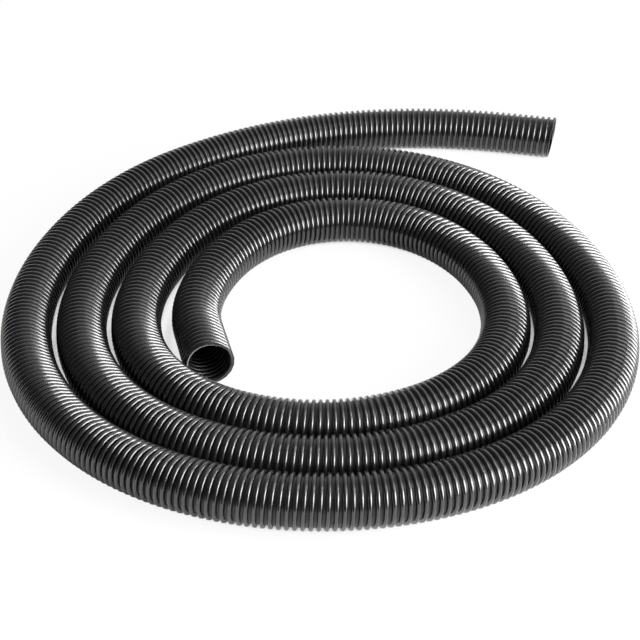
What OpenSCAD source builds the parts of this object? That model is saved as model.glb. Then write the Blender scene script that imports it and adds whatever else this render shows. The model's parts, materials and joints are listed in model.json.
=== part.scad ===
// Bare spiral-wound vacuum hose, lying flat as a one-layer coil.
// A soft web is wound and welded into a tube, and one stiff bead runs round it as a helix.
// The loops are a flat spiral from the inner end outwards, and the last stretch runs free.

/* [Hose] */
// Bore of the hose
bore_d = 38; // [32:1:50]
// Wall of the soft web between the turns of the bead
web_t = 1; // [0.8:0.1:2]
// How far the stiff bead stands out of the web
bead_h = 3; // [2:0.5:4]
// Width of the bead at its foot
bead_w = 6; // [3:0.5:8]
// Turns of the bead from one end of the hose to the other
bead_turns = 120; // [60:1:122]
// How deep the bead is flat where the hose lies
flat_depth = 0.5; // [0.3:0.1:1]
// Straight stretch at the inner end, which takes a spigot
inner_end_length = 54; // [46:1:60]
// Straight stretch at the outer end, which takes a spigot
outer_end_length = 50; // [46:1:150]

/* [Coil] */
// Direction of the first loop's start from the middle of the coil, in degrees from +X
start_angle = 196; // [0:1:359]
// Angle that the loops of the coil wind through
coil_angle = 1155; // [795:15:1155]
// Angle over which the free run leaves the coil
run_angle = 60; // [30:15:75]
// How far the free run moves out in its first quarter turn
run_out = 195; // [120:5:260]
// Angle over which the inner end curls in
curl_angle = 79; // [30:1:120]
// How far the inner end curls in over a quarter turn
curl_in = 9; // [0:0.5:12]

/* [First loop] */
// Mean radius of the first loop at its start
first_radius = 137.5; // [120:0.5:200]
// How far the first loop is wider at the front and back than at the sides
first_oval = 6.5; // [0:0.5:8]
// How far the first loop leans towards the back right
first_lean = 5; // [0:0.5:7]
// How far the first loop bulges at the front and at both back corners
first_bulge = 3.5; // [0:0.5:5]

/* [Gaps] */
// Clear gap between neighbouring loops where they lie closest
least_gap = 1.1; // [1:0.1:20]
// Widening of the gap from the front to the back
gap_back = 4.6; // [0:0.1:8]
// Widening of the gap from the right to the left
gap_left = 1.2; // [0:0.1:3]
// Widening of the gap at the front and the back together
gap_ends = 1.8; // [0:0.1:4]
// Widening of the gap along the diagonal from the back left
gap_lean = 1.7; // [0:0.1:4]
// Widening of the gap at the back and at both front corners
gap_corner = 0.9; // [0:0.1:3]

/* [Hidden] */

sides = 8;          // flats round the hose's faceted stretches, one of them underneath
ring_angle = 15;    // a ring every 15 degrees, so that all loops bend at the same directions
round_fn = 96;      // facets of the round ends in a preview
through = 1;        // how far a cutting tool stands past what it cuts

bore_r = bore_d / 2;
web_r = bore_r + web_t;
crest_r = web_r + bead_h;
hose_od = 2 * crest_r;
axis_z = crest_r - flat_depth;

// The bead's foot clears the web where the web bends at a ring
bead_clearance = 0.1;
foot_r = web_r + bead_clearance + bead_w / 2 * sin(ring_angle / 2);

// Route: a flat spiral, wound clockwise seen from above, as a function of the angle wound
function gap_change(az) = gap_back * sin(az) - gap_left * cos(az) - gap_ends * cos(2 * az)
    - gap_lean * sin(2 * az) - gap_corner * sin(3 * az);
least_change = min([for (az = [0 : ring_angle : 359]) gap_change(az)]);
function loop_step(az) = hose_od + least_gap + gap_change(az) - least_change;
function first_loop(az) = first_radius - first_oval * cos(2 * az) + first_lean * sin(2 * az)
    - first_bulge * sin(3 * az);
function quarter_turns(angle) = max(0, angle) / 90;
function radius(a) = let (az = start_angle - a) first_loop(az) + a / 360 * loop_step(az)
    + run_out * pow(quarter_turns(a - coil_angle), 2)
    - curl_in * pow(quarter_turns(curl_angle - a), 2);
function on_route(a) = radius(a) * [cos(start_angle - a), sin(start_angle - a), 0];
function heading(a) = let (d = on_route(a + 0.5) - on_route(a - 0.5)) d / norm(d);

// Rings: the inner mouth, one every ring_angle of the route, and the outer mouth
function ring(a, along) = [on_route(a) + along * heading(a), heading(a)];
route_angle = coil_angle + run_angle;
rings = [
    ring(0, -inner_end_length),
    for (a = [0 : ring_angle : route_angle]) ring(a, 0),
    ring(route_angle, outer_end_length)
];
inner_mouth = 0;
coil_start = 1;
run_start = coil_start + coil_angle / ring_angle;
run_end = len(rings) - 2;
outer_mouth = len(rings) - 1;

// Distance of each ring along the hose from the inner mouth, beside the ring's number
stations = [
    for (i = 0, s = 0; i < len(rings);
        i = i + 1, s = s + (i < len(rings) ? norm(rings[i][0] - rings[i - 1][0]) : 0)) [s, i]
];
hose_length = stations[outer_mouth][0];

// Corner k of the faceted tube of inner radius r at ring i, and at a distance s along the hose
function corner(i, k, r) = let (h = rings[i][1], angle = 360 * (k + 0.5) / sides)
    rings[i][0] + [0, 0, axis_z]
    + r / cos(180 / sides) * [cos(angle) * h.y, -cos(angle) * h.x, sin(angle)];
function corner_at(s, k, r) =
    let (u = lookup(s, stations), i = min(floor(u), len(rings) - 2), f = u - i)
    (1 - f) * corner(i, k, r) + f * corner(i + 1, k, r);

// The bead's section at each step round: a foot corner, the crest and the other foot corner.
// Underneath, the crest is cut flat on the ground and has a corner on each side.
bead_steps = bead_turns * sides;
flat_w = bead_w * flat_depth / (crest_r - foot_r);
function underneath(j) = abs(j % sides - (sides * 3 / 4 - 0.5)) < 1;
function bead_corner(j, offset, r) =
    corner_at(bead_w / 2 + (hose_length - bead_w) * j / bead_steps + offset, j, r);
bead_points = [
    for (j = [0 : bead_steps])
        let (half = underneath(j) ? flat_w / 2 : 0, r = underneath(j) ? axis_z : crest_r) each [
            bead_corner(j, -bead_w / 2, foot_r),
            bead_corner(j, -half, r),
            bead_corner(j, half, r),
            bead_corner(j, bead_w / 2, foot_r)
        ]
];
function bead_point(j, k) = 4 * j + (k == 2 && !underneath(j) ? 1 : k % 4);
bead_sides = [
    for (j = [0 : bead_steps - 1], k = [0 : 3])
        let (a = bead_point(j, k), b = bead_point(j, k + 1))
        let (c = bead_point(j + 1, k + 1), d = bead_point(j + 1, k))
        for (face = [[a, c, b], [a, d, c]]) if (face[0] != face[2] && face[1] != face[2]) face
];
function bead_end(j) = [for (k = underneath(j) ? [1, 2] : [2])
    [bead_point(j, 0), bead_point(j, k), bead_point(j, k + 1)]];

// Triangles between neighbouring rings of n points, in a list with m points a ring from point p
function side_faces(count, n, m, p) = [
    for (i = [0 : count - 2], k = [0 : n - 1])
        let (a = p + i * m + k, b = p + i * m + (k + 1) % n) each [[a, b, b + m], [a, b + m, a + m]]
];
function turned(faces) = [for (f = faces) [f[2], f[1], f[0]]];
function ring_face(n, p) = [for (k = [0 : n - 1]) let (b = (k + 1) % n)
    each [[p + k, p + n + k, p + n + b], [p + k, p + n + b, p + b]]];

// Least gap between neighbouring loops, on the lines through the crest's side corners
function off_line(p, a, b) = let (f = max(0, min(1, (p - a) * (b - a) / ((b - a) * (b - a)))))
    norm(p - a - f * (b - a));
function flank(i, away) = rings[i][0] + away * crest_r * [-rings[i][1].y, rings[i][1].x, 0];
loop_rings = 360 / ring_angle;
gap_near = [
    for (i = [inner_mouth : outer_mouth - 1], j = [i + loop_rings - 5 : i + loop_rings + 3])
        if (j > i + 5 && j < outer_mouth) min(
            off_line(flank(i, 1), flank(j, -1), flank(j + 1, -1)),
            off_line(flank(j, -1), flank(i, 1), flank(i + 1, 1)))
];
echo(least_gap_to_itself = min(gap_near));
echo(hose_length = hose_length);

// The origin is the middle of the hose's box, on the ground
low = [for (axis = [0, 1]) min([for (p = bead_points) p[axis]])];
high = [for (axis = [0, 1]) max([for (p = bead_points) p[axis]])];
middle = (low + high) / 2;
echo(middle = middle, size = high - low);
for (i = [inner_mouth, coil_start, run_end, outer_mouth])
    echo(ring = i, at = rings[i][0] + [0, 0, axis_z] - [middle.x, middle.y, 0], heading = rings[i][1]);

module placed() {
    translate([-middle.x, -middle.y, 0]) children();
}

// A stretch of the web from one ring to another, faceted, with its bore
module faceted_wall(from, to) {
    count = to - from + 1;
    points = [
        for (i = [from : to]) each concat(
            [for (k = [0 : sides - 1]) corner(i, k, web_r)],
            [for (k = [0 : sides - 1]) corner(i, k, bore_r)])
    ];
    polyhedron(points, concat(
        side_faces(count, sides, 2 * sides, 0),
        turned(side_faces(count, sides, 2 * sides, sides)),
        ring_face(sides, 0),
        turned(ring_face(sides, (count - 1) * 2 * sides))));
}

// A straight end of the web from one ring to the next, round, with a true bore
module round_wall(from) {
    length = norm(rings[from + 1][0] - rings[from][0]);
    h = rings[from][1];
    translate(rings[from][0] + [0, 0, axis_z])
        rotate([0, 90, atan2(h.y, h.x)])
            difference() {
                cylinder(h = length, r = web_r, $fn = round_fn);
                translate([0, 0, -through])
                    cylinder(h = length + 2 * through, r = bore_r, $fn = round_fn);
            }
}

module inner_end_wall() {
    color("#202022") placed() round_wall(inner_mouth);
}

module coil_wall() {
    color("#202022") placed() faceted_wall(coil_start, run_start);
}

module free_run_wall() {
    color("#202022") placed() faceted_wall(run_start, run_end);
}

module outer_end_wall() {
    color("#202022") placed() round_wall(run_end);
}

// One unbroken bead from mouth to mouth, flat where the hose lies
module stiffening_helix() {
    color("#2c2c30") placed()
        polyhedron(bead_points, concat(bead_end(0), bead_sides, turned(bead_end(bead_steps))));
}

inner_end_wall();
coil_wall();
free_run_wall();
outer_end_wall();
stiffening_helix();
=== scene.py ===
import json
import math

import bmesh
import bpy
import numpy as np
from mathutils import Matrix, Vector


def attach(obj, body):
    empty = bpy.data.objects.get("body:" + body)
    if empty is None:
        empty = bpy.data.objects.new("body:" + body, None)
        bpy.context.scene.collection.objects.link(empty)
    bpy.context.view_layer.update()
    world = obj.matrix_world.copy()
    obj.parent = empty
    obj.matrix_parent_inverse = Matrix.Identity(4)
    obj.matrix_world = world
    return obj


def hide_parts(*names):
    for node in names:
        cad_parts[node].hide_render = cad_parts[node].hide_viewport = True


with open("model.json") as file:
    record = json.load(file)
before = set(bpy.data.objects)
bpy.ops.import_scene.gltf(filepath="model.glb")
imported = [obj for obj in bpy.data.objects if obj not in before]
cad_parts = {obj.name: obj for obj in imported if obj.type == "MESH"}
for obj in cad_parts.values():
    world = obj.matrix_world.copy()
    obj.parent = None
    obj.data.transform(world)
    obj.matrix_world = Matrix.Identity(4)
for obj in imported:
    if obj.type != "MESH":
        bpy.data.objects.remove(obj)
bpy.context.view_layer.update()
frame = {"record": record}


# The camera
# A short telephoto lens on a stand, square to the coil's front and looking down on it. It sees
# the inner mouth open towards it at the left front, and the free end at the back right.
LENS_MM = 80.84
SENSOR_MM = 36
LOOKING_DOWN_DEG = 34
CAMERA_DISTANCE = 1.3682
LOOKED_AT = Vector((0.0018, -0.0381, 0))

looking_down = math.radians(LOOKING_DOWN_DEG)
towards_camera = Vector((0, -math.cos(looking_down), math.sin(looking_down)))
camera_data = bpy.data.cameras.new("camera")
camera_data.lens = LENS_MM
camera_data.sensor_width = SENSOR_MM
camera = bpy.data.objects.new("camera", camera_data)
camera.location = LOOKED_AT + CAMERA_DISTANCE * towards_camera
camera.rotation_euler = (math.pi / 2 - looking_down, 0, 0)
bpy.context.collection.objects.link(camera)
bpy.context.scene.camera = camera


# The web
# A strip of soft black polyethylene, extruded hot and wound round a mandrel edge over edge, so
# that it welds into one airtight tube. It lies as a one-layer coil that winds outwards
# clockwise, and both ends are cut square with a knife.
BORE_RADIUS = 0.019
WEB_THICKNESS = 0.001
BEAD_HEIGHT = 0.003
BEAD_TURNS = 804.3
# How deep the ribs are flat where the hose lies
FLAT_DEPTH = 0.0005
# The straight ends. Between them the hose winds from its start through the coil's angle and
# then runs out, and its inner end curls in. How far it runs out and curls in is for a quarter
# turn.
INNER_END_LENGTH = 0.054
OUTER_END_LENGTH = 0.050
START_DEG = 196
COIL_DEG = 1155
RUN_DEG = 60
RUN_OUT = 0.195
CURL_DEG = 79
CURL_IN = 0.009
# The first loop is longer from front to back, leans to the back right, and bulges at the back
# and at both front corners
FIRST_RADIUS = 0.1375
FIRST_OVAL = 0.0065
FIRST_LEAN = 0.005
FIRST_BULGE = 0.0035
# The least gap between neighbouring loops, and how it widens round the coil
LEAST_GAP = 0.0011
GAP_BACK = 0.0046
GAP_LEFT = 0.0012
GAP_ENDS = 0.0018
GAP_LEAN = 0.0017
GAP_CORNER = 0.0009
GAP_STEP_DEG = 15
# Shares by which the soft hose is pulled out at the back and pushed together at the front, and
# by which it is pulled out at the front and both back corners and pushed together between them
PULLED_BACK = 0.067
PULLED_CORNERS = 0.048

web_radius = BORE_RADIUS + WEB_THICKNESS
crest_radius = web_radius + BEAD_HEIGHT
axis_height = crest_radius - FLAT_DEPTH


def gap_change(azimuth):
    """How the gap between neighbouring loops differs from its mean, round the coil."""
    return (
        GAP_BACK * np.sin(azimuth)
        - GAP_LEFT * np.cos(azimuth)
        - GAP_ENDS * np.cos(2 * azimuth)
        - GAP_LEAN * np.sin(2 * azimuth)
        - GAP_CORNER * np.sin(3 * azimuth)
    )


least_change = gap_change(np.radians(np.arange(0, 360, GAP_STEP_DEG))).min()


def on_route(wound_deg):
    """Where the hose's middle line is, from the middle of the coil, after it has wound this far."""
    azimuth = np.radians(START_DEG - wound_deg)
    first_loop = (
        FIRST_RADIUS
        - FIRST_OVAL * np.cos(2 * azimuth)
        + FIRST_LEAN * np.sin(2 * azimuth)
        - FIRST_BULGE * np.sin(3 * azimuth)
    )
    loop_step = 2 * crest_radius + LEAST_GAP + gap_change(azimuth) - least_change
    run = np.maximum(0, wound_deg - COIL_DEG) / 90
    curl = np.maximum(0, CURL_DEG - wound_deg) / 90
    radius = first_loop + wound_deg / 360 * loop_step + RUN_OUT * run**2 - CURL_IN * curl**2
    return np.column_stack((radius * np.cos(azimuth), radius * np.sin(azimuth)))


# The middle line in steps of one degree, with a straight stretch at each end, run on past its
# mouth so that a bead cut through at the mouth still finds its place
PAST_MOUTH = 0.02
wound = np.arange(0, COIL_DEG + RUN_DEG + 1)
headings = on_route(wound + 0.5) - on_route(wound - 0.5)
headings /= np.linalg.norm(headings, axis=1)[:, None]
middle_line = on_route(wound)
inner_line = middle_line[0] - np.outer((INNER_END_LENGTH + PAST_MOUTH, INNER_END_LENGTH), headings[0])
outer_line = middle_line[-1] + np.outer((OUTER_END_LENGTH, OUTER_END_LENGTH + PAST_MOUTH), headings[-1])
middle_line = np.vstack((inner_line, middle_line, outer_line))
headings = np.vstack((headings[:1], headings[:1], headings, headings[-1:], headings[-1:]))
bearing = np.unwrap(np.arctan2(headings[:, 1], headings[:, 0]))
steps = np.linalg.norm(np.diff(middle_line, axis=0), axis=1)
along = np.concatenate(([0], np.cumsum(steps))) - PAST_MOUTH

# The same stations along the hose as it was made, before it was coiled and pulled out
azimuths = np.arctan2(middle_line[:, 1], middle_line[:, 0])
pull = 1 + PULLED_BACK * np.sin(azimuths) + PULLED_CORNERS * np.sin(3 * azimuths)
made = np.concatenate(([0], np.cumsum(np.diff(along) * 2 / (pull[1:] + pull[:-1]))))
made -= made[1]
made_length = made[-2]
pitch = made_length / BEAD_TURNS

mounts = {mount["name"]: mount for mount in frame["record"]["mounts"]}
inner_mouth = np.array(mounts["inner_end_mouth"]["pos_m"])
middle_line = middle_line + inner_mouth[:2] - middle_line[1]


def lay(straight, at):
    """Lay points of the hose as made (along, left, up from its middle line) along the route.
    at is the distance along at which each point rides on the route."""
    turned = np.interp(at, made, bearing)
    ahead = np.column_stack((np.cos(turned), np.sin(turned)))
    left = np.column_stack((-np.sin(turned), np.cos(turned)))
    middle = np.column_stack([np.interp(at, made, middle_line[:, axis]) for axis in (0, 1)])
    flat = middle + (straight[:, :1] - at[:, None]) * ahead + straight[:, 1:2] * left
    return np.column_stack((flat, np.maximum(0, axis_height + straight[:, 2])))


# A rib is shaded smooth over its crest, and its foot and its cuts stay crisp
SHARP_ANGLE = math.radians(70)


def piece_from(name, shape, materials):
    """A new object in the scene from a bmesh."""
    bmesh.ops.recalc_face_normals(shape, faces=shape.faces[:])
    mesh = bpy.data.meshes.new(name)
    shape.to_mesh(mesh)
    shape.free()
    mesh.shade_smooth()
    mesh.set_sharp_from_angle(angle=SHARP_ANGLE)
    for material in materials:
        mesh.materials.append(material)
    piece = bpy.data.objects.new(name, mesh)
    bpy.context.collection.objects.link(piece)
    return piece


# A wound piece's section is a few points (along, out from the crest). It is closed, and as the
# steps divide a turn, one turn is spun and the rest are copies of it. A turn starts at an angle
# that is measured from the right over the top.
STEPS_PER_TURN = 20
TURN_START = math.radians(310)
SPARE_TURNS = 2
MERGED_WITHIN = 1e-6
# How far each cut leans, for each metre to the left and up from the middle line
INNER_CUT_LEAN = (0.0, 0.0)
OUTER_CUT_LEAN = (0.07, 0.066)
CUT_WITHIN = 1e-7


def wind(name, section, offset, outside, cut_face):
    """Wind a closed section round the hose as a helix that climbs from the right over the top, cut
    it off at both mouths and lay it along the route. It keeps its own width where the hose bends.
    outside and cut_face are its materials."""
    shape = bmesh.new()
    first = offset - SPARE_TURNS * pitch
    ring = [shape.verts.new((first + x, -(crest_radius + out), 0)) for x, out in section]
    for i in range(len(ring)):
        shape.edges.new((ring[i], ring[(i + 1) % len(ring)]))
    bmesh.ops.rotate(shape, verts=ring, cent=(0, 0, 0), matrix=Matrix.Rotation(-TURN_START, 3, "X"))
    bmesh.ops.spin(
        shape,
        geom=shape.verts[:] + shape.edges[:],
        axis=(1, 0, 0),
        angle=-2 * math.pi,
        dvec=(pitch / STEPS_PER_TURN, 0, 0),
        steps=STEPS_PER_TURN,
    )
    turns = 1
    while first + turns * pitch < made_length + SPARE_TURNS * pitch:
        geometry = shape.verts[:] + shape.edges[:] + shape.faces[:]
        copied = bmesh.ops.duplicate(shape, geom=geometry)["geom"]
        moved = [v for v in copied if isinstance(v, bmesh.types.BMVert)]
        bmesh.ops.translate(shape, verts=moved, vec=(turns * pitch, 0, 0))
        meeting = [v for v in shape.verts if v.is_boundary]
        bmesh.ops.remove_doubles(shape, verts=meeting, dist=MERGED_WITHIN)
        turns *= 2
    for x, side, lean in ((0, -1, INNER_CUT_LEAN), (made_length, 1, OUTER_CUT_LEAN)):
        bmesh.ops.bisect_plane(
            shape,
            geom=shape.verts[:] + shape.edges[:] + shape.faces[:],
            dist=CUT_WITHIN,
            plane_co=(x, 0, 0),
            plane_no=(side, -side * lean[0], -side * lean[1]),
            clear_outer=True,
        )
        cut = bmesh.ops.holes_fill(shape, edges=[e for e in shape.edges if e.is_boundary], sides=0)
        for face in cut["faces"]:
            face.material_index = 1

    piece = piece_from(name, shape, (outside, cut_face))
    straight = np.empty(3 * len(piece.data.vertices))
    piece.data.vertices.foreach_get("co", straight)
    straight = straight.reshape(-1, 3)
    # Each point rides at the place along that the middle of its section has at the same angle
    angles = np.arctan2(straight[:, 2], -straight[:, 1]) - TURN_START
    turn = angles / (2 * math.pi) + offset / pitch
    at = pitch * (turn + np.round(straight[:, 0] / pitch - turn))
    piece.data.vertices.foreach_set("co", lay(straight, at).ravel())
    kept = piece.data.attributes.new("straight", "FLOAT_VECTOR", "POINT")
    kept.data.foreach_set("vector", straight.ravel())
    piece.data.update()
    return piece


def linear(colour):
    """An sRGB hex colour as linear red, green, blue and alpha."""
    shares = [int(colour[i : i + 2], 16) / 255 for i in (1, 3, 5)]
    return (*[s / 12.92 if s <= 0.04045 else ((s + 0.055) / 1.055) ** 2.4 for s in shares], 1)


def add_node(tree, kind, inputs=None, **settings):
    """Add a node to a material, with its settings, and its inputs as values or as links."""
    node = tree.nodes.new(kind)
    for name, value in settings.items():
        setattr(node, name, value)
    for socket, value in (inputs or {}).items():
        if isinstance(value, bpy.types.NodeSocket):
            tree.links.new(value, node.inputs[socket])
        else:
            node.inputs[socket].default_value = value
    return node


# Lines from the die follow the strip for a few centimetres. They are a tenth of a millimetre
# apart on the real hose and are drawn coarser, so that they don't shimmer.
LINE_LENGTH = 0.03
LINE_DETAIL = 3
# Handling leaves the surface duller and paler in patches. A patch grows between two levels of
# the noise, adds to the roughness and multiplies the colour.
PATCH_SIZE = 0.012
PATCH_DETAIL = 4
PATCH_FROM, PATCH_TO = 0.3, 0.7
DULLER_FROM, DULLER_TO = -0.03, 0.04
PALER_FROM, PALER_TO = 0.8, 1.25
POLISH_ROUGHNESS = 0.1


def black_polyethylene(name, colour, roughness, ior, lines_apart, lines_deep, polish=0.0):
    """Black polyethylene with fine lines round the hose, handled duller and paler in patches."""
    material = bpy.data.materials.new(name)
    material.use_nodes = True
    tree = material.node_tree
    tree.nodes.clear()
    place = add_node(tree, "ShaderNodeAttribute", attribute_name="straight").outputs["Vector"]
    across_lines = {0: place, 1: (1 / lines_apart, 1 / LINE_LENGTH, 1 / LINE_LENGTH)}
    stretched = add_node(tree, "ShaderNodeVectorMath", across_lines, operation="MULTIPLY")
    lines = add_node(
        tree, "ShaderNodeTexNoise", {"Vector": stretched.outputs[0], "Scale": 1, "Detail": LINE_DETAIL}
    )
    bump = add_node(tree, "ShaderNodeBump", {"Height": lines.outputs["Fac"], "Distance": lines_deep})
    patches = add_node(
        tree, "ShaderNodeTexNoise", {"Vector": place, "Scale": 1 / PATCH_SIZE, "Detail": PATCH_DETAIL}
    )
    handled = {"Value": patches.outputs["Fac"], "From Min": PATCH_FROM, "From Max": PATCH_TO}
    duller = add_node(
        tree,
        "ShaderNodeMapRange",
        {**handled, "To Min": roughness + DULLER_FROM, "To Max": roughness + DULLER_TO},
    )
    paler = add_node(tree, "ShaderNodeMapRange", {**handled, "To Min": PALER_FROM, "To Max": PALER_TO})
    shade = {0: linear(colour)[:3], "Scale": paler.outputs["Result"]}
    surface = add_node(
        tree,
        "ShaderNodeBsdfPrincipled",
        {
            "Base Color": add_node(tree, "ShaderNodeVectorMath", shade, operation="SCALE").outputs[0],
            "Roughness": duller.outputs["Result"],
            "IOR": ior,
            "Coat Weight": polish,
            "Coat Roughness": POLISH_ROUGHNESS,
            "Normal": bump.outputs["Normal"],
        },
    )
    add_node(tree, "ShaderNodeOutputMaterial", {"Surface": surface.outputs["BSDF"]})
    return material


# Soft polyethylene as it leaves a hot die. It is black and a little dull, and dark in the grooves.
soft_polyethylene = black_polyethylene(
    "soft_extruded_polyethylene",
    "#0c0c0d",
    roughness=0.35,
    ior=1.5,
    lines_apart=0.0006,
    lines_deep=0.00001,
)

# The same cut with a knife. The thin web's cut edge is coloured pale grey, and matt.
pale_cut = black_polyethylene(
    "knife_cut_soft_polyethylene",
    "#68686a",
    roughness=0.6,
    ior=1.5,
    lines_apart=0.0015,
    lines_deep=0.0001,
)

# The strip is narrower in the bore than outside, where it overlaps the bead's foot
WEB_SECTION = (
    (-0.0009, -BEAD_HEIGHT - WEB_THICKNESS),
    (-0.0018, -0.0029),
    (0.0018, -0.0029),
    (0.0009, -BEAD_HEIGHT - WEB_THICKNESS),
)
web = wind("wound_web", WEB_SECTION, pitch / 2, soft_polyethylene, pale_cut)
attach(web, "root")
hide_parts("inner_end_wall", "coil_wall", "free_run_wall", "outer_end_wall")


# The bead
# One stiff, rounded bead of black high-density polyethylene, extruded on to the web's edges as
# they are wound, and welded to them. Inside the bore its foot shows as the floor of a groove.

# Hard polyethylene, polished by the die. Each rib carries a crisp highlight that wavers a little.
# It takes an IOR above the usual 1.54 and a coat to be as bright as on the real hose.
hard_polyethylene = black_polyethylene(
    "hard_extruded_polyethylene",
    "#121213",
    roughness=0.2,
    ior=1.65,
    lines_apart=0.0012,
    lines_deep=0.000008,
    polish=0.35,
)

# The same cut with a knife, which leaves it matt and a shade paler
matt_cut = black_polyethylene(
    "knife_cut_hard_polyethylene",
    "#1c1c1d",
    roughness=0.55,
    ior=1.5,
    lines_apart=0.0015,
    lines_deep=0.0001,
)

BEAD_SECTION = (
    (-0.00220, -BEAD_HEIGHT),
    (-0.00155, -0.00075),
    (-0.00070, 0.0),
    (0.00070, 0.0),
    (0.00155, -0.00075),
    (0.00220, -BEAD_HEIGHT),
)
bead = wind("stiffening_bead", BEAD_SECTION, 0, hard_polyethylene, matt_cut)
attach(bead, "root")
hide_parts("stiffening_helix")

# Points along the middle line of the web and the bead, one every ten degrees and one at both mouths
PATH_STEP = 10
stations = middle_line[1:-1:PATH_STEP]
path_points = np.column_stack((stations, np.full(len(stations), axis_height)))
path_points = np.vstack((path_points, (*middle_line[-2], axis_height)))


# The floor
# A roll of matt white paper that runs out past the view, just below the hose. The camera sees
# it nearly plain white, and the hose reflects much less of it.
FLOOR_HALF_WIDTH = 30.0
FLOOR_BELOW = 0.0002
PAPER_COLOUR = "#f4f4f4"
# Its share of plain white, as the camera sees it and as the hose reflects it
GLOW_SEEN = 0.92
GLOW_REFLECTED = 0.15
# It is darker where the loops let little light down to it: how far off they count, and the open
# shares up to which it is dark and from which it is plain
SHADOW_REACH = 0.04
SHADOW_DARK = 0.02
SHADOW_GONE = 0.12
SHADOW_SAMPLES = 8

paper = bpy.data.materials.new("white_paper_floor")
paper.use_nodes = True
tree = paper.node_tree
tree.nodes.clear()
rays = add_node(tree, "ShaderNodeLightPath")
above = add_node(tree, "ShaderNodeAmbientOcclusion", {"Distance": SHADOW_REACH}, samples=SHADOW_SAMPLES)
open_above = add_node(
    tree,
    "ShaderNodeMapRange",
    {
        "Value": above.outputs["AO"],
        "From Min": SHADOW_DARK,
        "From Max": SHADOW_GONE,
        "To Max": GLOW_SEEN,
    },
)
in_hose = {0: rays.outputs["Is Glossy Ray"], 1: rays.outputs["Is Transmission Ray"]}
reflected = add_node(tree, "ShaderNodeMath", in_hose, operation="MAXIMUM").outputs[0]
weaker = {0: reflected, 1: GLOW_REFLECTED}
reflected = add_node(tree, "ShaderNodeMath", weaker, operation="MULTIPLY").outputs[0]
seen = {0: rays.outputs["Is Camera Ray"], 1: open_above.outputs["Result"], 2: reflected}
share = add_node(tree, "ShaderNodeMath", seen, operation="MULTIPLY_ADD").outputs[0]
matt = add_node(tree, "ShaderNodeBsdfDiffuse", {"Color": linear(PAPER_COLOUR)})
glow = add_node(tree, "ShaderNodeEmission", {"Color": (1, 1, 1, 1), "Strength": 1.0})
mixed = add_node(tree, "ShaderNodeMixShader", {0: share, 1: matt.outputs[0], 2: glow.outputs[0]})
add_node(tree, "ShaderNodeOutputMaterial", {"Surface": mixed.outputs[0]})

shape = bmesh.new()
bmesh.ops.create_grid(shape, x_segments=1, y_segments=1, size=FLOOR_HALF_WIDTH)
bmesh.ops.translate(shape, verts=shape.verts[:], vec=(0, 0, -FLOOR_BELOW))
floor = piece_from("studio_floor", shape, (paper,))


# The room and its lights
# A room that is bright on the right and at the back and dark on the left, though the camera
# sees it white on every side. A soft box as large as a window stands at the front right, a low
# one on the right, and one hangs high above that side.
BRIGHT_SIDE = (0.9, 0.45, 0.0)
# Its brightness on both sides, and how far off the middle each is reached
ROOM_DARK = 0.1
ROOM_BRIGHT = 0.95
ROOM_BLEND = 0.5
BOX_DISTANCE = 2.4

world = bpy.data.worlds.new("studio")
bpy.context.scene.world = world
world.use_nodes = True
tree = world.node_tree
tree.nodes.clear()
towards = add_node(tree, "ShaderNodeTexCoord")
to_bright_side = {0: towards.outputs["Generated"], 1: BRIGHT_SIDE}
lit_side = add_node(tree, "ShaderNodeVectorMath", to_bright_side, operation="DOT_PRODUCT")
level = add_node(
    tree,
    "ShaderNodeMapRange",
    {
        "Value": lit_side.outputs["Value"],
        "From Min": -ROOM_BLEND,
        "From Max": ROOM_BLEND,
        "To Min": ROOM_DARK,
        "To Max": ROOM_BRIGHT,
    },
)
rays = add_node(tree, "ShaderNodeLightPath")
seen = {0: level.outputs["Result"], 1: rays.outputs["Is Camera Ray"]}
strength = add_node(tree, "ShaderNodeMath", seen, operation="MAXIMUM").outputs[0]
sky = add_node(tree, "ShaderNodeBackground", {"Color": (1, 1, 1, 1), "Strength": strength})
add_node(tree, "ShaderNodeOutputWorld", {"Surface": sky.outputs[0]})


def soft_box(name, azimuth_deg, up_deg, width, height, brightness):
    """A soft box aimed at the coil. A brightness of 1 is that of white paper."""
    data = bpy.data.lights.new(name, "AREA")
    data.shape = "RECTANGLE"
    data.size = width
    data.size_y = height
    data.energy = brightness * math.pi * width * height
    azimuth = math.radians(azimuth_deg)
    up = math.radians(up_deg)
    box = bpy.data.objects.new(name, data)
    box.location = BOX_DISTANCE * Vector(
        (math.cos(up) * math.cos(azimuth), math.cos(up) * math.sin(azimuth), math.sin(up))
    )
    box.rotation_euler = (-box.location).to_track_quat("-Z", "Y").to_euler()
    box.visible_camera = False
    bpy.context.collection.objects.link(box)


soft_box("window_box", azimuth_deg=-32, up_deg=22, width=1.3, height=1.7, brightness=17)
soft_box("low_right_box", azimuth_deg=0, up_deg=10, width=1.6, height=0.85, brightness=16)
soft_box("high_box", azimuth_deg=-15, up_deg=62, width=1.3, height=1.2, brightness=3)

bpy.context.scene.view_settings.view_transform = "Standard"
